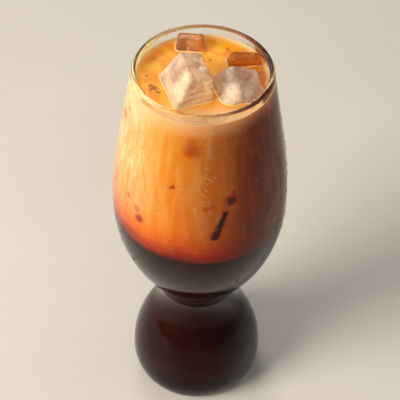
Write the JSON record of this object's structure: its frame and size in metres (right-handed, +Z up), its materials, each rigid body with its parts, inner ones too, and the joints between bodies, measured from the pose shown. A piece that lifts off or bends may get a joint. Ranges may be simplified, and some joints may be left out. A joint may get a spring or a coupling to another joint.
{
  "type": "thai iced tea",
  "caption": "Iced tea in a gourd-shaped glass: dark tea below, orange milk tea above, blocks of melting ice standing out of the surface.",
  "frame": {"origin": "centre of the foot ring, on the surface that the glass stands on", "axes": "+Z up along the glass's axis; -Y towards the side that the picture shows"},
  "size_m": [0.08, 0.08, 0.2032],
  "materials": {
    "glass": "clear, polished",
    "dark_tea": "clear dark brown liquid",
    "milk_tea": "cloudy orange liquid",
    "ice": "wet, melting"
  },
  "bodies": {
    "root": {"glass": "glass", "tea_layer": "dark_tea", "milk_layer": "milk_tea", "ice_centre": "ice", "ice_right": "ice", "ice_back_left": "ice", "ice_back_right": "ice"}
  },
  "joints": []
}
